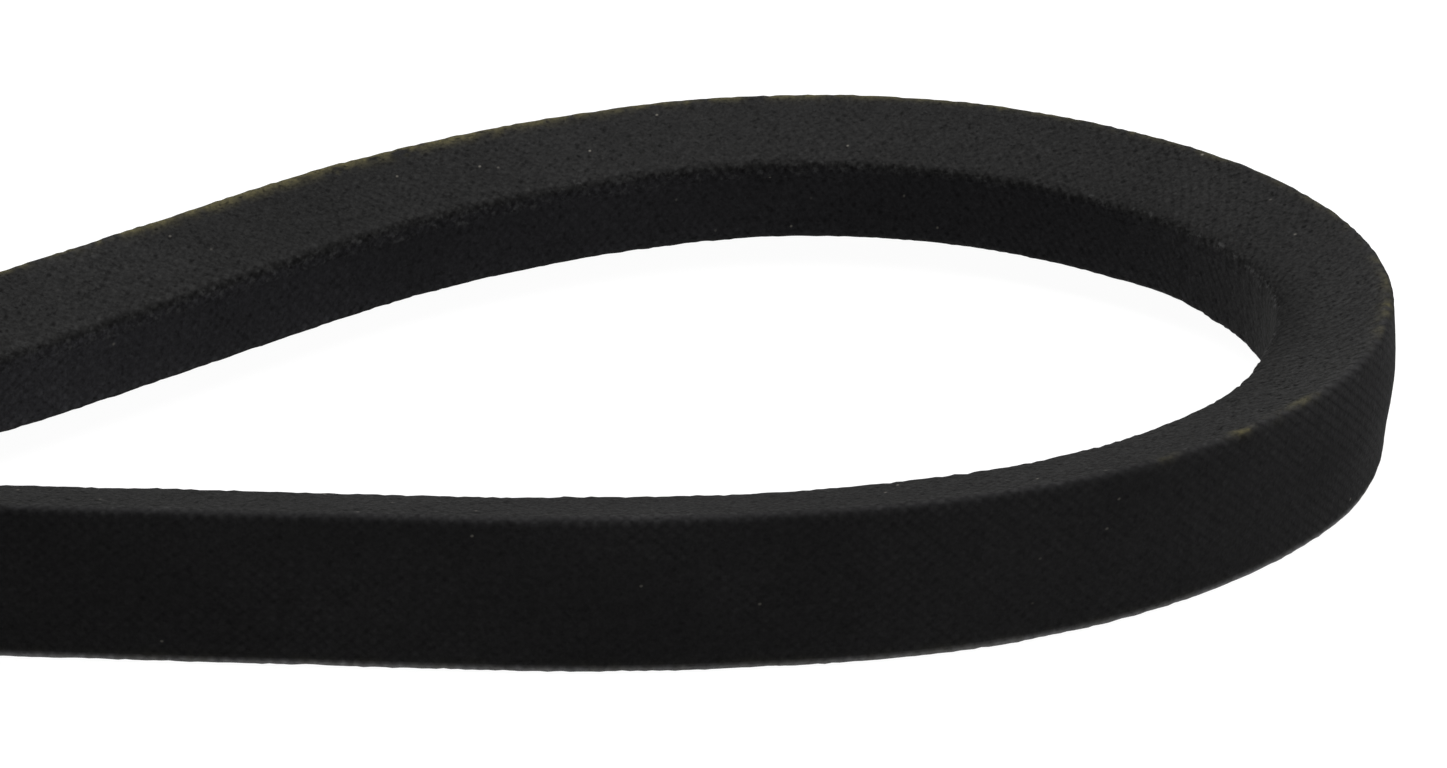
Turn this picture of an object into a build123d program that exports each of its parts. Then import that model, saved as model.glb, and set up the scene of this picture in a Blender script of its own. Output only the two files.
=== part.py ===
from build123d import *
import os
from math import cos, pi, radians, sin, tan

# Wrapped classical V-belt, section B, lying on its side.
# Millimetres. +Z up. The origin is under the middle of the loop, on the surface that the belt lies on.
# X runs along the loop, which is the same on both sides of X = 0.
# The wide back of the belt faces outward, the narrow base faces inward, and the two flanks face up and down.

# Driving dimensions of the belt section
TOP_WIDTH = 17.0
HEIGHT = 11.0
WEDGE_ANGLE = 40.0
BACK_CORNER = 0.7
BASE_CORNER = 1.0
INSIDE_LENGTH = 864.0

# Layers, by depth from the back
PLY = 0.45
TENSION_END = 2.3
CORD_DEPTH = 3.3
ADHESION_END = 4.3

# The tension member: one cord, wound side by side
CORD_DIAMETER = 1.1
CORD_PITCH = 1.3
CORD_TURNS = 9

# The lap of the outer ply on the base: its free edge shows as a fine seam along the belt
LAP_EDGE = 2.9
LAP_WIDTH = 5.0
SEAM_WIDTH = 0.25
SEAM_DEPTH = 0.2

# Half of the loop at the cord, from the waist, as radii and angles.
# A positive angle turns towards the inside of the loop, a negative one away from it.
FLAT_SIDE_BEND = (580.0, -5.6)
FLAT_SIDE_STRAIGHT = 50.0
LOBE_BENDS = [
    (190.0, 10.0),
    (90.0, 14.5),
    (60.0, 26.0),
    (33.0, 70.0),
    (44.0, 21.5),
    (65.0, 58.0),
    (107.0, 22.5),
]
DEEP_SIDE_STRAIGHT = 31.0
DEEP_SIDE_RADIUS = 84.0

# Derived sizes
FLANK_SLOPE = tan(radians(WEDGE_ANGLE / 2))
FLANK_COS = cos(radians(WEDGE_ANGLE / 2))
CORE_INSET = 2 * PLY
CORNER_DROP = BACK_CORNER * ((1 + sin(radians(WEDGE_ANGLE / 2))) / FLANK_COS - 1)
MID_HEIGHT = TOP_WIDTH / 2 - CORNER_DROP
CORD_LINE_LENGTH = INSIDE_LENGTH + 2 * pi * (HEIGHT - CORD_DEPTH)

os.makedirs("parts", exist_ok=True)


# ---- The loop ----


def side_runs():
    """Runs of one half of the loop between the two waist straights: (radius, angle) or (None, length)."""
    turned = FLAT_SIDE_BEND[1] + sum(angle for _, angle in LOBE_BENDS)
    waist_bend = (DEEP_SIDE_RADIUS, 180 - turned)
    return [FLAT_SIDE_BEND, (None, FLAT_SIDE_STRAIGHT), *LOBE_BENDS, (None, DEEP_SIDE_STRAIGHT), waist_bend]


def reach_and_length(runs):
    """How far the runs reach along X from a start along +X, and how long they are."""
    heading = 0.0
    reach = 0.0
    length = 0.0
    for radius, size in runs:
        if radius is None:
            reach += size * cos(heading)
            length += size
        else:
            turn = radians(size)
            side = 1 if size > 0 else -1
            reach += side * radius * (sin(heading + turn) - sin(heading))
            length += radius * abs(turn)
            heading += turn
    return reach, length


half = side_runs()
half_reach, half_length = reach_and_length(half)
flat_waist = (CORD_LINE_LENGTH / 2 - half_length - half_reach) / 2
deep_waist = flat_waist + half_reach

loop_runs = [(None, 2 * flat_waist), *half, (None, 2 * deep_waist), *reversed(half)]

runs = []
with BuildLine() as cord_line:
    here = (-flat_waist, 0)
    ahead = (1, 0)
    for run_radius, run_size in loop_runs:
        if run_radius is None:
            run = PolarLine(here, run_size, direction=ahead)
        else:
            run = JernArc(here, ahead, run_radius, run_size)
        runs.append(run)
        here = run @ 1
        ahead = run % 1

loop_box = cord_line.line.bounding_box()
to_middle = Location((0, -loop_box.center().Y, MID_HEIGHT))
route = [run.moved(to_middle) for run in runs]
# The run where the wound cord steps over by one pitch: the straight on the flat side
step_run = route[2]


def section_plane(run):
    """Plane across the belt at the start of a run: x into the loop, y up, origin on the cord line."""
    forward = run % 0
    return Plane(origin=run @ 0, x_dir=Vector(-forward.Y, forward.X, 0), z_dir=forward)


def carry(section, run):
    """Carry a section along one run, straight or round its bend."""
    with BuildSketch(section_plane(run)) as profile:
        add(section)
    if run.geom_type == GeomType.LINE:
        return extrude(profile.sketch, amount=run.length, mode=Mode.PRIVATE)
    turn = (run % 0).get_signed_angle(run % 1, Vector(0, 0, 1))
    up = Vector(0, 0, 1 if turn > 0 else -1)
    return revolve(profile.sketch, axis=Axis(run.arc_center, up), revolution_arc=abs(turn), mode=Mode.PRIVATE)


def step_over(section):
    """Carry a section along the step run while it rises by one cord pitch."""
    with BuildSketch(section_plane(step_run)) as profile:
        add(section)
    rise = (step_run % 0) * step_run.length + Vector(0, 0, CORD_PITCH)
    return extrude(profile.sketch, amount=rise.length, dir=rise.normalized(), mode=Mode.PRIVATE)


# ---- Sections: x is the depth below the cord line, y the height above the belt's middle ----


def half_width(depth, inset):
    """Half the width of the wedge at a depth from the back, inside a skin of the given thickness."""
    return TOP_WIDTH / 2 - depth * FLANK_SLOPE - inset / FLANK_COS


def wedge(start, end, inset):
    """Corners of the wedge between two depths from the back."""
    wide = half_width(start, inset)
    narrow = half_width(end, inset)
    near = start - CORD_DEPTH
    far = end - CORD_DEPTH
    return [(near, -wide), (far, -narrow), (far, narrow), (near, wide)]


def lap_box(inset, margin):
    """Corners of the room that the lap of the outer ply takes on the base."""
    far = HEIGHT - inset - CORD_DEPTH
    near = far - PLY
    low = LAP_EDGE - LAP_WIDTH - margin
    high = LAP_EDGE + margin
    return [(near, low), (far, low), (far, high), (near, high)]


def polygon(corners, mode=Mode.ADD):
    """Add a face with the given corners to the sketch at work, or cut it out."""
    with BuildLine() as border:
        Polyline(*corners, close=True)
    make_face(border.edges(), mode=mode)


def rounded_wedge(inset):
    """Outline of the whole belt inside a skin, with rounded corners while the skin leaves any."""
    with BuildSketch() as outline:
        polygon(wedge(inset, HEIGHT - inset, inset))
        corners = outline.vertices().group_by(Axis.X)
        if BACK_CORNER > inset:
            fillet(corners[0], BACK_CORNER - inset)
        if BASE_CORNER > inset:
            fillet(corners[-1], BASE_CORNER - inset)
    return outline.sketch


def adhesion_section(start, end, grooved):
    """One of the two rubber sheets that the cord lies between, with its half of each cord groove."""
    with BuildSketch() as sheet:
        polygon(wedge(start, end, CORE_INSET))
        if grooved:
            add(cord_section.sketch, mode=Mode.SUBTRACT)
    return sheet.sketch


with BuildSketch() as outer_ply_section:
    add(rounded_wedge(0))
    add(rounded_wedge(PLY), mode=Mode.SUBTRACT)
    polygon(lap_box(PLY, 0))
    with Locations((HEIGHT - CORD_DEPTH, LAP_EDGE)):
        Rectangle(2 * SEAM_DEPTH, SEAM_WIDTH, mode=Mode.SUBTRACT)

with BuildSketch() as inner_ply_section:
    add(rounded_wedge(PLY))
    add(rounded_wedge(CORE_INSET), mode=Mode.SUBTRACT)
    polygon(lap_box(CORE_INSET, PLY))
    polygon(lap_box(PLY, 0), mode=Mode.SUBTRACT)

with BuildSketch() as compression_section:
    add(rounded_wedge(CORE_INSET))
    polygon(wedge(CORE_INSET, ADHESION_END, 0), mode=Mode.SUBTRACT)
    polygon(lap_box(CORE_INSET, PLY), mode=Mode.SUBTRACT)

with BuildSketch() as tension_section:
    polygon(wedge(CORE_INSET, TENSION_END, CORE_INSET))

with BuildSketch() as cord_section:
    with GridLocations(0, CORD_PITCH, 1, CORD_TURNS):
        Circle(CORD_DIAMETER / 2)

# The stepping cords are one fewer than the full row, and start half a pitch low
with BuildSketch() as stepping_section:
    with Locations((0, -CORD_PITCH / 2)):
        with GridLocations(0, CORD_PITCH, 1, CORD_TURNS - 1):
            Circle(CORD_DIAMETER / 2)


# ---- Sub-parts, from the outside in ----

with BuildPart() as outer_cover_ply:
    add([carry(outer_ply_section.sketch, run) for run in route])
outer_cover_ply.part.label = "outer_cover_ply"

with BuildPart() as inner_cover_ply:
    add([carry(inner_ply_section.sketch, run) for run in route])
inner_cover_ply.part.label = "inner_cover_ply"

with BuildPart() as tension_rubber:
    add([carry(tension_section.sketch, run) for run in route])
tension_rubber.part.label = "tension_rubber"

with BuildPart() as tensile_cord:
    add([carry(cord_section.sketch, run) for run in route if run is not step_run])
    add(step_over(stepping_section.sketch))
tensile_cord.part.label = "tensile_cord"

with BuildPart() as upper_adhesion_rubber:
    sheet = adhesion_section(TENSION_END, CORD_DEPTH, True)
    add([carry(sheet, run) for run in route if run is not step_run])
    add(carry(adhesion_section(TENSION_END, CORD_DEPTH, False), step_run))
    add(step_over(stepping_section.sketch), mode=Mode.SUBTRACT)
upper_adhesion_rubber.part.label = "upper_adhesion_rubber"

with BuildPart() as lower_adhesion_rubber:
    sheet = adhesion_section(CORD_DEPTH, ADHESION_END, True)
    add([carry(sheet, run) for run in route if run is not step_run])
    add(carry(adhesion_section(CORD_DEPTH, ADHESION_END, False), step_run))
    add(step_over(stepping_section.sketch), mode=Mode.SUBTRACT)
lower_adhesion_rubber.part.label = "lower_adhesion_rubber"

with BuildPart() as compression_rubber:
    add([carry(compression_section.sketch, run) for run in route])
compression_rubber.part.label = "compression_rubber"

export_step(outer_cover_ply.part, "parts/outer_cover_ply.step")
export_step(inner_cover_ply.part, "parts/inner_cover_ply.step")
export_step(tension_rubber.part, "parts/tension_rubber.step")
export_step(upper_adhesion_rubber.part, "parts/upper_adhesion_rubber.step")
export_step(tensile_cord.part, "parts/tensile_cord.step")
export_step(lower_adhesion_rubber.part, "parts/lower_adhesion_rubber.step")
export_step(compression_rubber.part, "parts/compression_rubber.step")

print("inside length", INSIDE_LENGTH, "cord line length", round(sum(run.length for run in route), 3))
print("loop box at the cord", loop_box.size)
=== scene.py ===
import math

import bpy
import numpy as np
from mathutils import Matrix, Vector


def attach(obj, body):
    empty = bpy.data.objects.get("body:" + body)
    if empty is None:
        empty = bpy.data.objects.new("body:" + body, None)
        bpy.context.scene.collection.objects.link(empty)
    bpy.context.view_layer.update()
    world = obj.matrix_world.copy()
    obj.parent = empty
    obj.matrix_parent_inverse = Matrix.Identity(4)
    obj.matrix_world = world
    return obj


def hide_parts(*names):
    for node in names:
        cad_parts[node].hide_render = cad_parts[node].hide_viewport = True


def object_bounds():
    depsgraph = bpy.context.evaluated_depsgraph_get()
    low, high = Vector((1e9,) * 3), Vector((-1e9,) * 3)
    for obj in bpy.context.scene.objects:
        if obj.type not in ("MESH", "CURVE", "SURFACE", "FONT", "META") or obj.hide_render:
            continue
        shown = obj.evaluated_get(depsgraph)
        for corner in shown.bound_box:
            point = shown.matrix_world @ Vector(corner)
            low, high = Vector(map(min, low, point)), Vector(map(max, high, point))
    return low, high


# Wrapped V-belt, section B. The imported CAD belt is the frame, and its outer cover ply is replaced
# by one finely woven mesh that follows the same loop. Metres, in the row frame.
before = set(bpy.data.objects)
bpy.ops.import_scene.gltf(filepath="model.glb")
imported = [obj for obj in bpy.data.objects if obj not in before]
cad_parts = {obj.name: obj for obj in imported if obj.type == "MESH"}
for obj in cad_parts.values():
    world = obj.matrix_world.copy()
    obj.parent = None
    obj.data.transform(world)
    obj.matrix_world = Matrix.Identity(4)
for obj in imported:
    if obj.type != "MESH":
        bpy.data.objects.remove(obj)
cad_low, cad_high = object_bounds()

MM = 0.001


# ---- The belt's dimensions, the same as in the CAD model ----

TOP_WIDTH = 17.0 * MM
HEIGHT = 11.0 * MM
HALF_WEDGE = math.radians(20)
BACK_CORNER = 0.7 * MM
BASE_CORNER = 1.0 * MM
INSIDE_LENGTH = 864.0 * MM
CORD_DEPTH = 3.3 * MM
LAP_EDGE = 2.9 * MM

# Half of the loop at the cord, from the waist: (radius in mm, angle in degrees), or (None, length in mm)
FLAT_SIDE_BEND = (580.0, -5.6)
LOBE_BENDS = [
    (190.0, 10.0),
    (90.0, 14.5),
    (60.0, 26.0),
    (33.0, 70.0),
    (44.0, 21.5),
    (65.0, 58.0),
    (107.0, 22.5),
]
WAIST_ANGLE = 180 - FLAT_SIDE_BEND[1] - sum(angle for _, angle in LOBE_BENDS)
HALF_LOOP = [FLAT_SIDE_BEND, (None, 50.0), *LOBE_BENDS, (None, 31.0), (84.0, WAIST_ANGLE)]

CORNER_DROP = BACK_CORNER * ((1 + math.sin(HALF_WEDGE)) / math.cos(HALF_WEDGE) - 1)
MID_HEIGHT = TOP_WIDTH / 2 - CORNER_DROP
LOOP_LENGTH = INSIDE_LENGTH + 2 * math.pi * (HEIGHT - CORD_DEPTH)
# The belt is moulded as a circle, and is free of strain at that curvature
MOULDED_RADIUS = LOOP_LENGTH / (2 * math.pi)


# ---- The loop ----


def as_run(radius, size):
    """One run as (length, curvature). Curvature is positive towards the inside of the loop."""
    if radius is None:
        return size * MM, 0.0
    turn = math.radians(size)
    return radius * MM * abs(turn), math.copysign(1 / (radius * MM), turn)


def walk(runs, start=(0.0, 0.0)):
    """Starting point and heading of each run, and of the end. The first run starts along X."""
    x, y = start
    heading = 0.0
    stations = [(x, y, heading)]
    for length, curve in runs:
        if curve == 0:
            x += length * math.cos(heading)
            y += length * math.sin(heading)
        else:
            turned = heading + length * curve
            x += (math.sin(turned) - math.sin(heading)) / curve
            y -= (math.cos(turned) - math.cos(heading)) / curve
            heading = turned
        stations.append((x, y, heading))
    return stations


half = [as_run(*run) for run in HALF_LOOP]
half_reach = walk(half)[-1][0]
half_length = sum(length for length, _ in half)
flat_waist = (LOOP_LENGTH / 2 - half_length - half_reach) / 2
loop_runs = [(2 * flat_waist, 0.0), *half, (2 * (flat_waist + half_reach), 0.0), *reversed(half)]
stations = np.array(walk(loop_runs, start=(-flat_waist, 0.0)))
run_lengths = np.array([length for length, _ in loop_runs])
run_curves = np.array([curve for _, curve in loop_runs])
run_starts = np.concatenate([[0.0], np.cumsum(run_lengths)[:-1]])


def along(s):
    """x, y, heading and curvature of the cord line at distances s round the loop."""
    s = np.mod(s, LOOP_LENGTH)
    run = np.clip(np.searchsorted(run_starts, s, side="right") - 1, 0, len(loop_runs) - 1)
    x0, y0, h0 = np.moveaxis(stations[run], -1, 0)
    curve = run_curves[run]
    travelled = s - run_starts[run]
    heading = h0 + travelled * curve
    bent = np.abs(curve) > 0
    safe = np.where(bent, curve, 1.0)
    x = x0 + np.where(bent, (np.sin(heading) - np.sin(h0)) / safe, travelled * np.cos(h0))
    y = y0 - np.where(bent, (np.cos(heading) - np.cos(h0)) / safe, -travelled * np.sin(h0))
    return x, y, heading, curve


loop_y = along(np.linspace(0, LOOP_LENGTH, 20000))[1]
LOOP_MIDDLE_Y = (loop_y.min() + loop_y.max()) / 2


# What a bend does to the belt comes and goes over about this length
BEND_BLUR = 9 * MM


def smooth_curvature(s):
    """Curvature of the loop averaged over a short stretch, so that what depends on it changes gently."""
    offsets = np.linspace(-1.5, 1.5, 13) * BEND_BLUR
    weights = np.exp(-0.5 * (offsets / BEND_BLUR) ** 2)
    total = sum(weight * along(s + offset)[3] for weight, offset in zip(weights, offsets))
    return total / weights.sum()


# ---- The section: distance t runs round it from the free edge of the lap on the base ----


def section_pieces():
    """Straight sides and rounded corners of the section, in order: (kind, length, data)."""
    slope = math.tan(HALF_WEDGE)
    base_half = TOP_WIDTH / 2 - HEIGHT * slope
    corners = [
        (Vector((HEIGHT, base_half)), BASE_CORNER),
        (Vector((0, TOP_WIDTH / 2)), BACK_CORNER),
        (Vector((0, -TOP_WIDTH / 2)), BACK_CORNER),
        (Vector((HEIGHT, -base_half)), BASE_CORNER),
    ]
    start = Vector((HEIGHT, LAP_EDGE))
    pieces = []
    here = start
    for i, (corner, radius) in enumerate(corners):
        after = corners[i + 1][0] if i + 1 < len(corners) else start
        incoming = (corner - here).normalized() if i == 0 else (corner - corners[i - 1][0]).normalized()
        outgoing = (after - corner).normalized()
        turn = incoming.angle(outgoing)
        cut = radius * math.tan(turn / 2)
        arc_start = corner - incoming * cut
        pieces.append(("line", (arc_start - here).length, (here, incoming)))
        pieces.append(("arc", radius * turn, (arc_start, incoming, radius)))
        here = corner + outgoing * cut
    pieces.append(("line", (start - here).length, (here, outgoing)))
    return pieces


PIECES = section_pieces()
PIECE_STARTS = np.concatenate([[0.0], np.cumsum([length for _, length, _ in PIECES])])
SECTION_LENGTH = PIECE_STARTS[-1]


def section_point(t):
    """Depth, height and outward normal at distance t."""
    number = int(np.clip(np.searchsorted(PIECE_STARTS, t, side="right") - 1, 0, len(PIECES) - 1))
    kind, _, data = PIECES[number]
    travelled = t - PIECE_STARTS[number]
    if kind == "line":
        origin, direction = data
        point = origin + direction * travelled
    else:
        origin, incoming, radius = data
        turn = travelled / radius
        left = Vector((-incoming.y, incoming.x))
        centre = origin + left * radius
        direction = incoming * math.cos(turn) + left * math.sin(turn)
        point = centre - Vector((-direction.y, direction.x)) * radius
    normal = Vector((direction.y, -direction.x))
    return point.x, point.y, normal.x, normal.y


# ---- The woven jacket ----

# The fabric is cut on the bias. Its threads cross at the vertices whose column and row numbers add up
# to an even number, and the gaps between threads are at the others. The rows are closer on the back.
COLUMNS = 1332
ROWS = 72
BACK_ROWS = 28
COLUMN_STEP = LOOP_LENGTH / COLUMNS
SEAM_WIDTH = 0.45 * MM
# Threads of the two sets are not equally close, so the columns lean: by this many round the whole section
LEANING_COLUMNS = 10
SHEAR = -LEANING_COLUMNS * COLUMN_STEP / SECTION_LENGTH

# Middles of the four rounded corners
CORNERS = [PIECE_STARTS[i] + PIECES[i][1] / 2 for i in range(len(PIECES)) if PIECES[i][0] == "arc"]
BASE_TOP, BACK_TOP, BACK_BOTTOM, BASE_BOTTOM = CORNERS
OFF_BACK = SECTION_LENGTH - SEAM_WIDTH - (BACK_BOTTOM - BACK_TOP)
OFF_BACK_STEP = OFF_BACK / (ROWS - BACK_ROWS)
FIRST_BACK_ROW = BACK_TOP / OFF_BACK_STEP

THREAD_RELIEF = 0.024 * MM
THREAD_UNEVEN = 0.022 * MM
PIT_DEPTH = 0.05 * MM
THREADS_PER_UV = 1000.0

# Rows near a corner are doubled, and the cloth shows more within this distance of one
CORNER_REACH = 1.2 * MM
CORNER_SPREAD = 0.8 * MM

rng = np.random.default_rng(7)


def distance_of(row):
    """Distance t round the section of a row number."""
    rows = [0, FIRST_BACK_ROW, FIRST_BACK_ROW + BACK_ROWS, ROWS]
    distances = [0, BACK_TOP, BACK_BOTTOM, SECTION_LENGTH - SEAM_WIDTH]
    return np.interp(row, rows, distances)


def row_places():
    """Row numbers of the mesh rows: every whole row, and half rows round the corners."""
    places = []
    for row in range(ROWS):
        places.append(float(row))
        middle = distance_of(row + 0.5)
        if any(abs(middle - corner) < CORNER_REACH for corner in CORNERS):
            places.append(row + 0.5)
    places.append(float(ROWS))
    return np.array(places)


def loop_noise(s, t, along_size, across_size, seed):
    """Smooth noise from -1 to 1 over the jacket, which meets itself round the loop."""
    cells = round(LOOP_LENGTH / along_size)
    table = np.random.default_rng(seed).uniform(-1, 1, (cells, 64))
    x = s / LOOP_LENGTH * cells
    y = t / across_size
    xi = np.floor(x).astype(int)
    yi = np.floor(y).astype(int)
    fx = x - xi
    fy = y - yi
    fx = fx * fx * (3 - 2 * fx)
    fy = fy * fy * (3 - 2 * fy)
    low = table[xi % cells, yi % 64] * (1 - fx) + table[(xi + 1) % cells, yi % 64] * fx
    high = table[xi % cells, (yi + 1) % 64] * (1 - fx) + table[(xi + 1) % cells, (yi + 1) % 64] * fx
    return low * (1 - fy) + high * fy


def hump(x, centre, width):
    """Smooth hill of height 1 at the centre."""
    return np.exp(-0.5 * ((x - centre) / width) ** 2)


def ramp(x, none, full):
    """Smooth step from 0 at none to 1 at full, either of which may be the greater."""
    share = np.clip((x - none) / (full - none), 0, 1)
    return share * share * (3 - 2 * share)


def stretch(x, none, full, fading, gone):
    """1 from full to fading, 0 up to none and from gone on, and smooth between."""
    return ramp(x, none, full) * ramp(x, gone, fading)


def loop_gap(s, centre):
    """Signed distance along the loop from the centre, the short way round."""
    return np.mod(s - centre + LOOP_LENGTH / 2, LOOP_LENGTH) - LOOP_LENGTH / 2


# One row more than the threads closes the skin: it lies in the groove beside the free edge of the lap
row_numbers = np.append(row_places(), ROWS + 0.4)
RING = len(row_numbers)
row_t = distance_of(row_numbers)
row_t[-1] = SECTION_LENGTH - SEAM_WIDTH / 2
depth, height, normal_in, normal_up = np.array([section_point(t) for t in row_t]).T[:, None, :]
columns = np.arange(COLUMNS)[:, None]
S = columns * COLUMN_STEP + SHEAR * row_t
T = np.broadcast_to(row_t, S.shape)
GROOVE = np.s_[:, -1]

near_corner = sum(hump(T, corner, CORNER_SPREAD) for corner in CORNERS)

# Places round the loop that look different, as distances along it from the middle of the flat waist
SPLICE = 0.1895
LOBE_END = 0.2150
PUSHED_IN = 0.2130
LIFTED_MOST = 0.2540
# Stretches of it: where each begins, where it is full, and where it fades and is gone
LIFTED = (0.232, 0.238, 0.300, 0.330)
CRUSHED = (0.222, 0.230, 0.270, 0.300)
FAR_RUN = (0.24, 0.30)
# PALE_BACK, PALE_BASE and PALEST_BASE are stretches of painted light on the back and the base
PALE_BACK = (0.02, 0.10)
PALE_BASE = (0.27, 0.30)
PALEST_BASE = (0.34, 0.40)
# The same, from the middle of the deep waist
WORN_CORNER = (0.250, 0.235)
WIDE_STRIP = (0.165, 0.145)
# Places of painted shade, from the middle of the flat waist: (place, half length)
DARK_BASE = (0.242, 0.008)
DARK_FLANK = (0.262, 0.016)
DIM_FLANK = (0.225, 0.015)
# Worn stretches and spots of the upper back corner: (place, half length, how worn)
BROWNED = [
    (0.3480, 0.0160, 1.8),
    (0.3700, 0.0110, 0.4),
    (0.3020, 0.0040, 0.4),
]
BROWNED_SPOTS = [
    (0.2175, 0.0010, 0.9),
    (0.2140, 0.0008, 0.6),
    (0.1965, 0.0012, 0.6),
    (0.1935, 0.0008, 0.45),
    (0.1885, 0.0009, 0.7),
    (0.1800, 0.0008, 0.4),
]

# Distances along the loop from the middles of the two waists, and round the section from the free edge
from_flat_waist = np.abs(loop_gap(S, 0.0))
from_deep_waist = np.abs(loop_gap(S, LOOP_LENGTH / 2))
from_free_edge = np.where(T > SECTION_LENGTH / 2, T - SECTION_LENGTH, T)
on_far_run = ramp(from_flat_waist, *FAR_RUN)

# Shares of the back, the base and the two flanks
on_back = stretch(T, BACK_TOP - 1 * MM, BACK_TOP, BACK_BOTTOM, BACK_BOTTOM + 1 * MM)
base_fades = (BASE_TOP - 0.9 * MM, BASE_TOP - 0.1 * MM)
base_returns = (BASE_BOTTOM - 0.5 * MM, BASE_BOTTOM + 0.5 * MM)
off_base = stretch(T, *base_fades, *base_returns)
on_base = 1 - off_base
on_flank = 1 - on_back - on_base


def dark_strip():
    """The dark strip of base beside the upper corner, with open gaps and bare threads."""
    width = 0.9 * MM + 0.7 * MM * ramp(from_deep_waist, *WIDE_STRIP)
    edge = 0.3 * MM * loop_noise(S, T, 3 * MM, 30 * MM, 31)
    edge = edge + 0.15 * MM * loop_noise(S, T, 0.8 * MM, 30 * MM, 33)
    from_corner = BASE_TOP + 0.15 * MM + edge - from_free_edge
    return stretch(from_corner, -0.25 * MM, 0.25 * MM, width, width + 0.5 * MM)


strip = dark_strip()
base_shadow = np.clip(strip + 0.6 * hump(T, BASE_BOTTOM + 0.4 * MM, 0.8 * MM), 0, 1)

# This share of a squeeze along the belt comes out across it
SIDEWAYS_SHARE = 0.45
# Squeezes at which the inner side is wrinkled and streaked most
WRINKLED_SQUEEZE = 0.18
STREAKED_SQUEEZE = 0.14
# Radii of the bends at which the outer threads are taut, and ribs show on the back
TAUT_RADIUS = 42 * MM
RIBBED_RADIUS = 40 * MM

# Where the belt is bent tighter than it was moulded, its inner side is squeezed and spreads
below_cord = np.clip(depth - CORD_DEPTH, 0, None)
bend = smooth_curvature(S)
squeeze = 1 - (1 - below_cord * bend) / (1 - below_cord / MOULDED_RADIUS)
spread = 1 + SIDEWAYS_SHARE * squeeze
tightness = np.clip(squeeze / WRINKLED_SQUEEZE, 0, 1) ** 2
taut = np.clip(bend * TAUT_RADIUS, 0, 1)


def cloth_shown():
    """How far the threads show. Rubber fills the cloth unevenly, and least on the corners and tight bends."""
    patches = 1 + 0.9 * loop_noise(S, T, 11 * MM, 7 * MM, 5)
    corners = (0.45 - 0.15 * on_back) * near_corner * (1 - 0.8 * tightness)
    ribs = 0.10 + 0.08 * on_back * (1 + 1.2 * loop_noise(S, T, 4 * MM, 3 * MM, 8))
    ribs = ribs * ramp(bend * RIBBED_RADIUS, 0.6, 1.0)
    return (0.28 - 0.06 * on_back) * patches + corners + 0.2 * strip + ribs


cloth = cloth_shown()
threads = THREAD_RELIEF * cloth * (1 - 0.8 * taut * on_back)
threads = threads * np.cos(math.pi * columns) * np.cos(math.pi * row_numbers)
uneven = THREAD_UNEVEN * (1 + 1.2 * near_corner + 0.9 * strip) * rng.uniform(-1, 1, S.shape)


def open_gaps():
    """Sizes of open gaps between threads: single ones, loose clusters, and many where the base is crushed."""
    at_gap = np.mod(columns + row_numbers, 2) == 1
    cluster = np.clip(loop_noise(S, T, 7 * MM, 4 * MM, 41), 0, 1)
    crushed = hump(T, BASE_TOP - 0.5 * MM, 0.9 * MM) * stretch(from_flat_waist, *CRUSHED)
    share = 0.14 + 0.14 * cluster + 0.25 * base_shadow + 0.5 * crushed
    open_here = at_gap & (rng.uniform(0, 1, S.shape) < share)
    return open_here * rng.uniform(0.45, 1.0, S.shape)


pit_size = open_gaps()


def squeezed_side():
    """The squeezed side wrinkles, its threads bunch into short streaks, and its corners round off."""
    phase = 2 * math.pi * S / (3.1 * MM) + 2.2 * loop_noise(S, T, 9 * MM, 4 * MM, 3)
    wrinkle_depth = 0.040 * MM * (1 + 0.6 * loop_noise(S, T, 6 * MM, 3 * MM, 4))
    wrinkles = wrinkle_depth * tightness * (np.sin(phase) + 0.4 * np.sin(2.3 * phase + 1.0))
    streaks = 0.05 * MM * np.clip(squeeze / STREAKED_SQUEEZE, 0, 1) * loop_noise(S, T, 0.75 * MM, 1.9 * MM, 6)
    off_corner = hump(T, BASE_TOP - 1.7 * MM, 0.8 * MM) + hump(T, BASE_TOP + 1.9 * MM, 0.9 * MM)
    rounding = MM * tightness * (0.12 * off_corner - 0.45 * hump(T, BASE_TOP, 1.0 * MM))
    return wrinkles + streaks + rounding


def hand_laid():
    """Slow unevenness of a hand-laid jacket, and corners that wander a little and are beaded."""
    slow = 0.05 * MM * loop_noise(S, T, 14 * MM, 9 * MM, 11)
    wander = 0.05 * MM * near_corner * loop_noise(S, T, 5 * MM, 40 * MM, 13)
    near_base_corner = hump(T, BASE_TOP, 0.9 * MM) + hump(T, BASE_BOTTOM, 0.9 * MM)
    beads = MM * (0.020 * near_corner + 0.030 * near_base_corner)
    return slow + wander + beads * loop_noise(S, T, 0.8 * MM, 0.8 * MM, 14)


# A bias splice of the jacket strip, with a small lump and a notch where it crosses the upper back corner
splice_line = loop_gap(S + 0.8 * (T - BACK_TOP), SPLICE)
splice_step = 0.02 * MM * (ramp(splice_line, -0.4 * MM, 0.4 * MM) - ramp(splice_line, 4 * MM, 9 * MM))
splice_lump = hump(splice_line, 0.5 * MM, 0.6 * MM) - 0.9 * hump(splice_line, -0.6 * MM, 0.35 * MM)
splice = splice_step + 0.16 * MM * hump(T, BACK_TOP, 0.6 * MM) * splice_lump
notch = hump(T, BACK_TOP + 0.7 * MM, 0.7 * MM) * hump(splice_line, -0.6 * MM, 0.4 * MM)

# On the tight bend the upper corner of the base is pushed inward, and beyond it the lower corner is lifted
around_base = hump(from_free_edge, BASE_TOP - 0.8 * MM, 1.8 * MM)
pushed_in = 1.2 * MM * around_base * hump(loop_gap(S, PUSHED_IN), 0, 8 * MM)
lifted_here = 0.3 * stretch(S, *LIFTED) + 0.5 * hump(loop_gap(S, LIFTED_MOST), 0, 5 * MM)
lifted = MM * lifted_here * hump(T, BASE_BOTTOM, 1.3 * MM)

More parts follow.
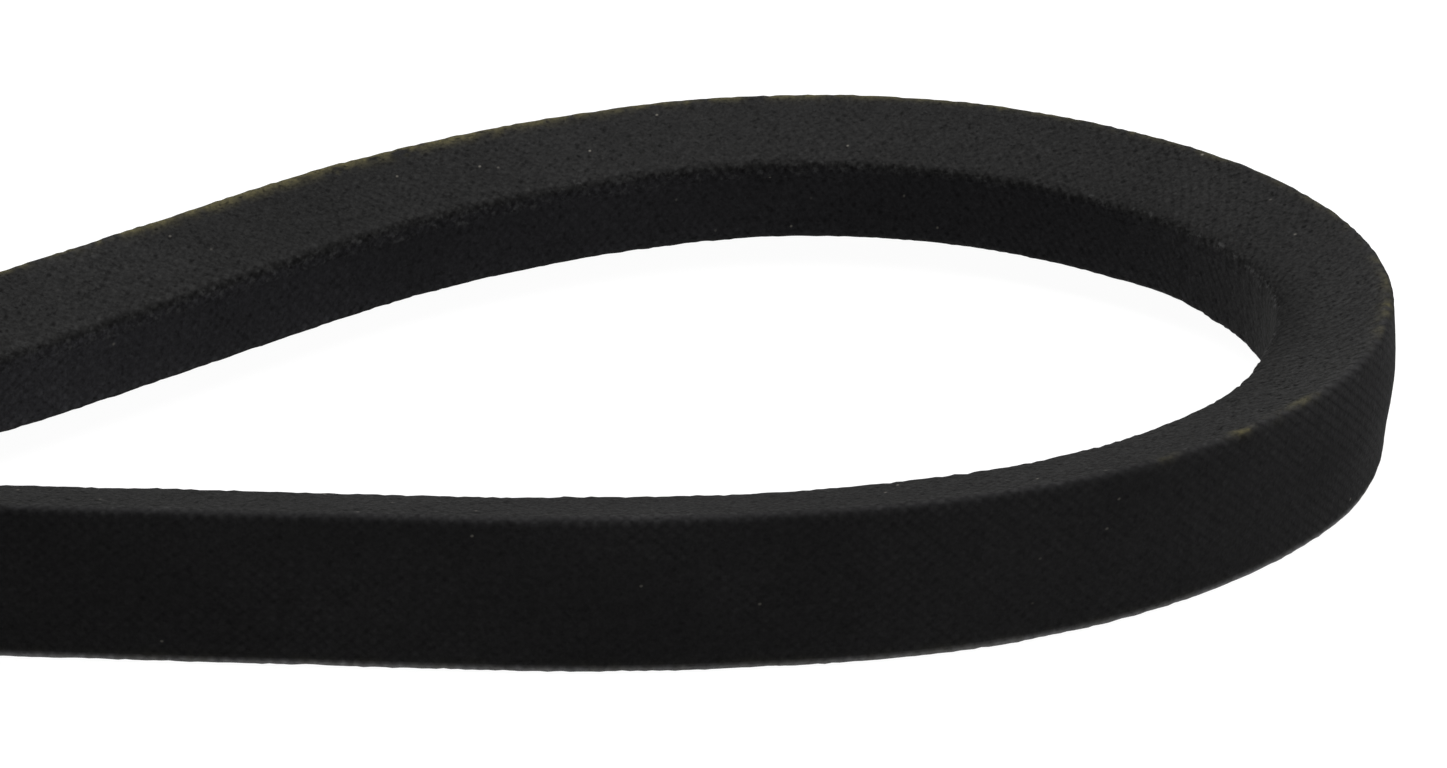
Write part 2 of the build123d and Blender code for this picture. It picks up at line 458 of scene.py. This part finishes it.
# The back stands out a little at the end of the lobe
fuller = 0.65 * MM * hump(loop_gap(S, LOBE_END), 0, 13 * MM) * hump(T, BACK_TOP + 7 * MM, 4 * MM)

# The free edge of the lap is a low lip, and rubber fills the groove beside it almost flush
lip = 0.02 * MM * hump(from_free_edge, 0.0, 0.6 * MM)
groove_lift = 0.02 * MM * loop_noise(S, T, 3 * MM, 30 * MM, 17)

lift = threads + uneven - PIT_DEPTH * pit_size + squeezed_side() + hand_laid() + fuller + splice + lip
lift[GROOVE] = groove_lift[GROOVE]


def jacket_points():
    """Points of the jacket in the row frame. None of them goes below the surface that the belt lies on."""
    x, y, heading, _ = along(S)
    inward = depth - CORD_DEPTH + lift * normal_in + pushed_in
    up = MID_HEIGHT + height * spread + lift * normal_up + lifted
    x = x - np.sin(heading) * inward
    y = y + np.cos(heading) * inward - LOOP_MIDDLE_Y
    points = np.stack([x, y, np.maximum(up, 0.0)], axis=-1)
    return points.reshape(-1, 3)


def jacket_corners():
    """Corners of the triangles as (column, row on the mesh). Their long edges follow the threads."""
    a = np.stack(np.meshgrid(np.arange(COLUMNS), np.arange(RING), indexing="ij"), axis=-1)
    b = a + (1, 0)
    c = a + (1, 1)
    d = a + (0, 1)
    crossing = (a[..., 0] + np.floor(row_numbers)) % 2 == 0
    crossing = crossing[..., None, None]
    first = np.where(crossing, np.stack([a, c, b], 2), np.stack([a, d, b], 2))
    second = np.where(crossing, np.stack([a, d, c], 2), np.stack([b, d, c], 2))
    return np.stack([first, second], axis=2).reshape(-1, 3, 2)


def vertex_at(corners):
    """Number of the vertex at each corner. After the last row comes the first one, further along the loop."""
    column = corners[..., 0]
    row = corners[..., 1]
    return (column - LEANING_COLUMNS * (row == RING)) % COLUMNS * RING + row % RING


def mesh_object(name, vertices, faces):
    mesh = bpy.data.meshes.new(name)
    mesh.from_pydata(vertices.tolist(), [], faces.tolist())
    mesh.polygons.foreach_set("use_smooth", np.ones(len(mesh.polygons), bool))
    mesh.update()
    obj = bpy.data.objects.new(name, mesh)
    bpy.context.scene.collection.objects.link(obj)
    return obj


def add_attribute(obj, name, values):
    """A number per vertex, for the shaders."""
    attribute = obj.data.attributes.new(name, "FLOAT", "POINT")
    attribute.data.foreach_set("value", np.asarray(values, np.float32).ravel())


def add_thread_uv(obj, corners):
    """UV counts thread columns and rows, by THREADS_PER_UV, and runs on past the seam of the loop."""
    rows = np.append(row_numbers, ROWS + 1)[corners[..., 1]]
    layer = obj.data.uv_layers.new(name="threads")
    counts = np.stack([corners[..., 0], rows], axis=-1) / THREADS_PER_UV
    layer.data.foreach_set("uv", counts.astype(np.float32).ravel())


def worn_places(places):
    """Sum of hills along the loop: (place, half length, height)."""
    return sum(height * hump(loop_gap(S, place), 0, length) for place, length, height in places)


def browned_edge():
    """How far each place is browned: thinly along the far corner, widely in stretches, and in spots."""
    thin = ramp(from_deep_waist, *WORN_CORNER) * (0.38 + 0.42 * on_far_run)
    upper = hump(T, BACK_TOP, 0.5 * MM) * thin + hump(T, BACK_TOP, 0.75 * MM) * worn_places(BROWNED)
    broken = 1 + loop_noise(S, T, 0.7 * MM, 0.7 * MM, 23)
    upper = upper + 0.7 * hump(T, BACK_TOP - 0.3 * MM, 0.5 * MM) * worn_places(BROWNED_SPOTS) * broken
    upper = upper * np.where(T > BACK_TOP, 0.5, 1.0)
    lower = 0.2 * hump(T, BACK_BOTTOM, 0.6 * MM)
    ragged = 0.75 + 0.6 * loop_noise(S, T, 2.5 * MM, 1.5 * MM, 21)
    ragged = ragged + 1.1 * loop_noise(S, T, 0.75 * MM, 0.7 * MM, 22)
    return np.clip((upper + lower) * ragged, 0, 1)


def painted_light_and_shade():
    """Painted light and shade, as a factor on the colour. The back is darkest at the flat waist, the base
    lightest on the far side and at the tip of a tight bend, and the base and flank are darker by the corner
    between them on a tight bend.
    """
    away = from_flat_waist
    # Painted shade on the back at the flat waist, and painted light on it further along
    back = 0.62 + 0.51 * ramp(away, *PALE_BACK)
    # Painted light on the base: lighter on the far side and at the tip of a tight bend
    base = 1.11 + 0.15 * ramp(away, *PALE_BASE) + 0.45 * ramp(away, *PALEST_BASE) + 0.35 * tightness ** 3
    # Painted shade on the base by its upper corner on a tight bend, and at DARK_BASE
    base = base - 0.35 * tightness * hump(T, BASE_TOP - 0.7 * MM, 0.6 * MM) - 0.10 * hump(away, *DARK_BASE)
    # Painted shade on the flank on a tight bend, at DARK_FLANK and DIM_FLANK, and by the corner next to the
    # base
    flank = 1.04 - 0.27 * tightness - 0.22 * hump(away, *DARK_FLANK) - 0.06 * hump(away, *DIM_FLANK)
    flank = flank - 0.14 * tightness * hump(T, BASE_TOP + 1.0 * MM, 1.6 * MM)
    # A painted highlight along the lower back corner, for the light that the white floor throws on it
    painted_rim_highlight = 11 * hump(T, BACK_BOTTOM - 0.28 * MM, 0.27 * MM)
    return on_back * back + on_base * base + on_flank * flank + painted_rim_highlight


corners = jacket_corners()
jacket = mesh_object("belt_jacket", jacket_points(), vertex_at(corners))
add_thread_uv(jacket, corners)
add_attribute(jacket, "pit", np.maximum(pit_size, notch))
add_attribute(jacket, "base_shadow", base_shadow)
add_attribute(jacket, "browned", browned_edge())
add_attribute(jacket, "strip", strip)
add_attribute(jacket, "cloth", cloth)
add_attribute(jacket, "taut", taut)
add_attribute(jacket, "smooth", 0.62 * on_back + 0.4 * on_base + 0.16 * (on_flank * on_far_run))
# Painted light and shade, as a factor on the jacket's colour
add_attribute(jacket, "pale", painted_light_and_shade())
add_attribute(jacket, "tinted", on_base * (1 - tightness) + 0.35 * on_back)


# ---- Materials ----

# Sockets of the Mix node when it mixes colours
MIX_FIRST = 6
MIX_SECOND = 7
MIX_RESULT = 2


class Nodes:
    """Short names for adding nodes to one material."""

    def __init__(self, name):
        self.material = bpy.data.materials.new(name)
        self.material.use_nodes = True
        self.tree = self.material.node_tree
        self.tree.nodes.clear()
        self.output = self.tree.nodes.new("ShaderNodeOutputMaterial")
        self.shader = self.tree.nodes.new("ShaderNodeBsdfPrincipled")
        self.link(self.shader.outputs["BSDF"], self.output.inputs["Surface"])

    def link(self, output, socket):
        self.tree.links.new(output, socket)

    def put(self, value, socket):
        if isinstance(value, bpy.types.NodeSocket):
            self.link(value, socket)
        else:
            socket.default_value = value

    def math(self, operation, first, second=0.0, clamp=False):
        node = self.tree.nodes.new("ShaderNodeMath")
        node.operation = operation
        node.use_clamp = clamp
        self.put(first, node.inputs[0])
        self.put(second, node.inputs[1])
        return node.outputs[0]

    def blend(self, first_share, first, second_share, second):
        """Sum of two values by their shares."""
        first_part = self.math("MULTIPLY", first_share, first)
        second_part = self.math("MULTIPLY", second_share, second)
        return self.math("ADD", first_part, second_part)

    def scale(self, value, low, high, to_low=0.0, to_high=1.0):
        node = self.tree.nodes.new("ShaderNodeMapRange")
        self.put(value, node.inputs["Value"])
        node.inputs["From Min"].default_value = low
        node.inputs["From Max"].default_value = high
        node.inputs["To Min"].default_value = to_low
        node.inputs["To Max"].default_value = to_high
        return node.outputs["Result"]

    def mix(self, share, first, second, blend="MIX"):
        node = self.tree.nodes.new("ShaderNodeMix")
        node.data_type = "RGBA"
        node.blend_type = blend
        self.put(share, node.inputs["Factor"])
        self.put(first, node.inputs[MIX_FIRST])
        self.put(second, node.inputs[MIX_SECOND])
        return node.outputs[MIX_RESULT]

    def attribute(self, name):
        node = self.tree.nodes.new("ShaderNodeAttribute")
        node.attribute_name = name
        return node.outputs["Fac"]

    def place(self):
        return self.tree.nodes.new("ShaderNodeTexCoord").outputs["Object"]

    def noise(self, vector, size, detail, roughness):
        node = self.tree.nodes.new("ShaderNodeTexNoise")
        self.put(vector, node.inputs["Vector"])
        node.inputs["Scale"].default_value = 1 / size
        node.inputs["Detail"].default_value = detail
        node.inputs["Roughness"].default_value = roughness
        return node.outputs["Fac"]

    def cells(self, vector):
        node = self.tree.nodes.new("ShaderNodeTexWhiteNoise")
        node.noise_dimensions = "3D"
        self.put(vector, node.inputs["Vector"])
        return node.outputs["Value"]

    def join(self, x, y, z):
        node = self.tree.nodes.new("ShaderNodeCombineXYZ")
        self.put(x, node.inputs[0])
        self.put(y, node.inputs[1])
        self.put(z, node.inputs[2])
        return node.outputs[0]

    def bump(self, height, distance, strength, normal=None):
        node = self.tree.nodes.new("ShaderNodeBump")
        node.inputs["Strength"].default_value = strength
        node.inputs["Distance"].default_value = distance
        self.put(height, node.inputs["Height"])
        if normal is not None:
            self.put(normal, node.inputs["Normal"])
        return node.outputs["Normal"]


def grey(level):
    return (level, level, level, 1.0)


# Colours of the woven jacket
WOVEN_DEEP = (0.0080, 0.0080, 0.0079, 1.0)
WOVEN_CROWN = (0.0134, 0.0133, 0.0131, 1.0)
BASE_TINT = (0.965, 0.965, 1.065, 1.0)
OLIVE_WEAR = (0.044, 0.0395, 0.0205, 1.0)
OPEN_GAP = grey(0.0015)
PALE_DUST = (0.16, 0.15, 0.13, 1.0)
BARE_THREAD = grey(0.036)

# Sizes of the grain, the flecks and the cloudy patches of its rubber
GRAIN = 0.40 * MM
FLECK = 0.9 * MM
PATCH = 20 * MM
# Share of the crossings that carry a speck of dust
DUSTY = 0.0040


def woven_rubber():
    """Rubber-filled plain weave: faint threads on the bias, open gaps, browned corners and a little dust."""
    n = Nodes("woven_rubber")
    uv = n.tree.nodes.new("ShaderNodeUVMap")
    uv.uv_map = "threads"
    parts = n.tree.nodes.new("ShaderNodeSeparateXYZ")
    n.link(uv.outputs["UV"], parts.inputs[0])
    p = n.math("MULTIPLY", parts.outputs["X"], THREADS_PER_UV)
    q = n.math("MULTIPLY", parts.outputs["Y"], THREADS_PER_UV)

    # One set of threads runs along whole values of a, the other along whole values of b
    a = n.math("MULTIPLY", n.math("ADD", p, q), 0.5)
    b = n.math("MULTIPLY", n.math("SUBTRACT", p, q), 0.5)
    a_thread = n.math("ROUND", a)
    b_thread = n.math("ROUND", b)
    a_off = n.math("SUBTRACT", a, a_thread)
    b_off = n.math("SUBTRACT", b, b_thread)
    a_over = n.math("PINGPONG", n.math("ADD", a_thread, b_thread), 1.0)
    b_over = n.math("SUBTRACT", 1.0, a_over)

    def crown(across, lengthwise, least):
        """Height of a thread in one crossing: round across, and dipping at both ends as far as least."""
        from_middle = n.math("MULTIPLY", n.math("ABSOLUTE", across), 2.0)
        arch = n.math("SUBTRACT", 1.0, n.math("POWER", from_middle, 2.0))
        dip = n.math("COSINE", n.math("MULTIPLY", lengthwise, math.pi))
        return n.math("MULTIPLY", n.math("MAXIMUM", arch, 0.0), n.math("MAXIMUM", dip, least))

    # The first set stands out where it lies over the other one. On a tight bend the second set is pulled
    # taut, and stands out along its whole length.
    taut = n.attribute("taut")
    a_over_height = n.scale(taut, 0.2, 1.0, 1.0, 0.35)
    a_under_height = n.scale(taut, 0.2, 1.0, 0.45, 0.15)
    b_over_height = n.scale(taut, 0.2, 1.0, 0.55, 1.15)
    b_under_height = n.scale(taut, 0.2, 1.0, 0.35, 0.95)
    a_height = n.blend(a_over, a_over_height, b_over, a_under_height)
    b_height = n.blend(b_over, b_over_height, a_over, b_under_height)
    a_top = n.math("MULTIPLY", crown(a_off, b_off, 0.0), a_height)
    b_top = n.math("MULTIPLY", crown(b_off, a_off, n.scale(taut, 0.2, 1.0, 0.0, 0.9)), b_height)
    thread = n.math("MAXIMUM", a_top, b_top)

    place = n.place()
    grain = n.noise(place, GRAIN, 3.0, 0.65)
    fleck = n.noise(place, FLECK, 3.0, 0.6)
    patch = n.noise(place, PATCH, 4.0, 0.55)
    yarn = n.cells(n.join(a_thread, b_thread, 5.0))
    strip = n.attribute("strip")

    yarn_spread = n.math("MULTIPLY", n.scale(yarn, 0.0, 1.0, -0.4, 0.4), n.scale(taut, 0.2, 1.0, 1.0, 0.35))
    shown = n.math("MULTIPLY", thread, n.attribute("cloth"))
    shown = n.math("MULTIPLY", shown, n.math("ADD", 1.0, yarn_spread))
    colour = n.mix(n.math("MULTIPLY", shown, 1.3, clamp=True), WOVEN_DEEP, WOVEN_CROWN)
    rough = n.math("SUBTRACT", 1.0, n.attribute("smooth"))
    grain_shade = n.math("ADD", 1.0, n.math("MULTIPLY", n.scale(grain, 0.3, 0.7, -0.46, 0.46), rough))
    shade = n.math("MULTIPLY", grain_shade, n.scale(fleck, 0.3, 0.7, 0.86, 1.14))
    shade = n.math("MULTIPLY", shade, n.scale(patch, 0.3, 0.7, 0.88, 1.12))
    shade = n.math("MULTIPLY", shade, n.scale(n.attribute("base_shadow"), 0.0, 1.0, 1.0, 1.06))
    # Painted light and shade from the pale attribute darken and lighten the colour
    shade = n.math("MULTIPLY", shade, n.attribute("pale"))
    colour = n.mix(1.0, colour, n.join(shade, shade, shade), "MULTIPLY")
    colour = n.mix(n.attribute("tinted"), colour, BASE_TINT, "MULTIPLY")

    # Bare threads beside the upper corner of the base are light, and the gaps between them dark
    bare = n.math("MULTIPLY", strip, n.scale(n.noise(place, 0.75 * MM, 3.0, 0.6), 0.52, 0.66))
    colour = n.mix(n.math("MULTIPLY", bare, 0.55), colour, BARE_THREAD)
    shut = n.math("MULTIPLY", strip, n.scale(n.noise(place, 0.65 * MM, 3.0, 0.6), 0.54, 0.38))
    colour = n.mix(n.math("MULTIPLY", shut, 0.45), colour, OPEN_GAP)

    # The back corners are worn to a dusty olive brown
    browned = n.math("MULTIPLY", n.attribute("browned"), n.scale(grain, 0.35, 0.6, 0.5, 1.1), clamp=True)
    colour = n.mix(browned, colour, OLIVE_WEAR)

    # Open gaps of the cloth, and finer pinholes between them
    pit = n.scale(n.attribute("pit"), 0.30, 0.70)
    pinhole = n.math("MULTIPLY", n.scale(n.noise(place, 0.6 * MM, 1.0, 0.5), 0.38, 0.28), 0.9)
    hole = n.math("MULTIPLY", n.math("MAXIMUM", pit, pinhole), rough)
    colour = n.mix(n.math("MULTIPLY", hole, 0.75), colour, OPEN_GAP)

    # Dust: rare, small and pale
    dust_here = n.math("GREATER_THAN", n.cells(n.join(a_thread, b_thread, 11.0)), 1 - DUSTY)
    dust_reach = n.math("SQRT", n.blend(a_off, a_off, b_off, b_off))
    dust = n.math("MULTIPLY", n.scale(dust_reach, 0.05, 0.22, 1.0, 0.0), dust_here)
    dust_strength = n.scale(n.cells(n.join(a_thread, b_thread, 17.0)), 0.0, 1.0, 0.08, 0.5)
    colour = n.mix(n.math("MULTIPLY", dust, dust_strength), colour, PALE_DUST)
    n.put(colour, n.shader.inputs["Base Color"])

    n.put(n.scale(grain, 0.3, 0.7, 0.92, 0.74), n.shader.inputs["Roughness"])
    n.shader.inputs["Specular IOR Level"].default_value = 0.03

    relief = n.math("ADD", n.math("MULTIPLY", shown, 0.8), n.math("MULTIPLY", fleck, 0.8))
    weave_bump = n.bump(relief, 0.10 * MM, 0.6)
    grain_bump = n.bump(grain, 0.10 * MM, 0.6, weave_bump)
    n.put(grain_bump, n.shader.inputs["Normal"])
    return n.material


def bonded_rubber(name, level, roughness):
    """Vulcanised rubber of an inner layer, with a fine fibrous grain."""
    n = Nodes(name)
    place = n.place()
    grain = n.noise(place, 0.6 * MM, 4.0, 0.6)
    patch = n.noise(place, 12 * MM, 3.0, 0.5)
    shade = n.scale(n.math("ADD", grain, patch), 0.6, 1.4, 0.7, 1.3)
    n.put(n.mix(1.0, grey(level), n.join(shade, shade, shade), "MULTIPLY"), n.shader.inputs["Base Color"])
    n.put(n.scale(grain, 0.3, 0.7, roughness - 0.1, roughness + 0.1), n.shader.inputs["Roughness"])
    n.put(n.bump(grain, 0.04 * MM, 0.6), n.shader.inputs["Normal"])
    return n.material


CORD_HOLLOW = (0.42, 0.34, 0.22, 1.0)
CORD_CROWN = (0.66, 0.58, 0.44, 1.0)


def dipped_cord():
    """Pale twisted polyester, dipped in adhesive."""
    n = Nodes("dipped_cord")
    place = n.place()
    twist = n.tree.nodes.new("ShaderNodeTexWave")
    twist.wave_type = "BANDS"
    twist.bands_direction = "DIAGONAL"
    twist.inputs["Scale"].default_value = 260.0
    twist.inputs["Distortion"].default_value = 1.5
    n.put(place, twist.inputs["Vector"])
    fibre = n.noise(place, 0.25 * MM, 4.0, 0.6)
    pale = n.mix(twist.outputs["Fac"], CORD_HOLLOW, CORD_CROWN)
    n.put(pale, n.shader.inputs["Base Color"])
    n.put(n.scale(fibre, 0.3, 0.7, 0.55, 0.75), n.shader.inputs["Roughness"])
    n.put(n.bump(twist.outputs["Fac"], 0.1 * MM, 0.8), n.shader.inputs["Normal"])
    return n.material


def give(obj, material):
    if obj.data.materials:
        for slot in obj.material_slots:
            slot.material = material
    else:
        obj.data.materials.append(material)


give(jacket, woven_rubber())
give(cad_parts["inner_cover_ply"], bonded_rubber("inner_ply_fabric", 0.035, 0.8))
give(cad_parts["tension_rubber"], bonded_rubber("tension_rubber", 0.02, 0.6))
adhesion = bonded_rubber("adhesion_rubber", 0.03, 0.55)
give(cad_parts["upper_adhesion_rubber"], adhesion)
give(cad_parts["lower_adhesion_rubber"], adhesion)
give(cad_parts["tensile_cord"], dipped_cord())
give(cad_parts["compression_rubber"], bonded_rubber("compression_rubber", 0.018, 0.7))

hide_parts("outer_cover_ply")
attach(jacket, "root")


# ---- Floor, light and camera ----


# The camera and the lights aim at this point of the right-hand half of the loop
AIM_SHARE = 0.6657
AIM = Vector((AIM_SHARE * cad_high.x, 0.0096, -0.0003))

WHITE = grey(1.0)
FLOOR_HALF_SIZE = 3.0
FLOOR_GLOW = 0.965
ROOM_LIGHT = 0.02


def pale_floor():
    """A light table: it glows white, so the belt throws next to no shadow on it."""
    size = FLOOR_HALF_SIZE
    corners = np.array([(-size, -size, 0), (size, -size, 0), (size, size, 0), (-size, size, 0)], float)
    floor = mesh_object("floor", corners, np.array([(0, 1, 2), (0, 2, 3)]))
    n = Nodes("pale_floor")
    tone = n.scale(n.noise(n.place(), 0.4, 3.0, 0.5), 0.3, 0.7, 0.045, 0.055)
    n.put(n.join(tone, tone, tone), n.shader.inputs["Base Color"])
    n.shader.inputs["Roughness"].default_value = 0.85
    n.shader.inputs["Emission Color"].default_value = WHITE
    n.shader.inputs["Emission Strength"].default_value = FLOOR_GLOW
    give(floor, n.material)


def soft_box(name, offset, side, power):
    """Square area light, placed from the point that it aims at."""
    place = AIM + Vector(offset)
    lamp = bpy.data.lights.new(name, "AREA")
    lamp.shape = "SQUARE"
    lamp.size = side
    lamp.energy = power
    light = bpy.data.objects.new(name, lamp)
    light.location = place
    light.rotation_euler = (AIM - place).to_track_quat("-Z", "Y").to_euler()
    bpy.context.scene.collection.objects.link(light)


pale_floor()
soft_box("overhead", (0.15, 0.20, 0.9), 1.3, 24.5)
soft_box("rear_left", (-0.9, 0.6, 0.9), 0.8, 24.5)
soft_box("right", (0.50, -0.22, 0.28), 0.35, 1.1)

world = bpy.data.worlds.new("soft_room")
bpy.context.scene.world = world
world.use_nodes = True
world.node_tree.nodes["Background"].inputs["Color"].default_value = WHITE
world.node_tree.nodes["Background"].inputs["Strength"].default_value = ROOM_LIGHT
bpy.context.scene.view_settings.view_transform = "Standard"

VIEW_TURN = math.radians(-0.19)
VIEW_RISE = math.radians(28.24)
VIEW_ROLL = math.radians(1.455)
VIEW_DISTANCE = 0.4023
LENS = 94.59
SENSOR_WIDTH = 36.0
camera_data = bpy.data.cameras.new("camera")
camera_data.lens = LENS
camera_data.sensor_width = SENSOR_WIDTH
camera_data.clip_start = 0.01
camera = bpy.data.objects.new("camera", camera_data)
# Down and away from the camera, towards the aim
level = Vector((math.sin(VIEW_TURN), math.cos(VIEW_TURN), 0.0)) * math.cos(VIEW_RISE)
toward = level - Vector((0.0, 0.0, math.sin(VIEW_RISE)))
camera.location = AIM - toward * VIEW_DISTANCE
upright = toward.to_track_quat("-Z", "Y").to_matrix()
camera.rotation_euler = (upright @ Matrix.Rotation(-VIEW_ROLL, 3, "Z")).to_euler()
bpy.context.scene.collection.objects.link(camera)
bpy.context.scene.camera = camera
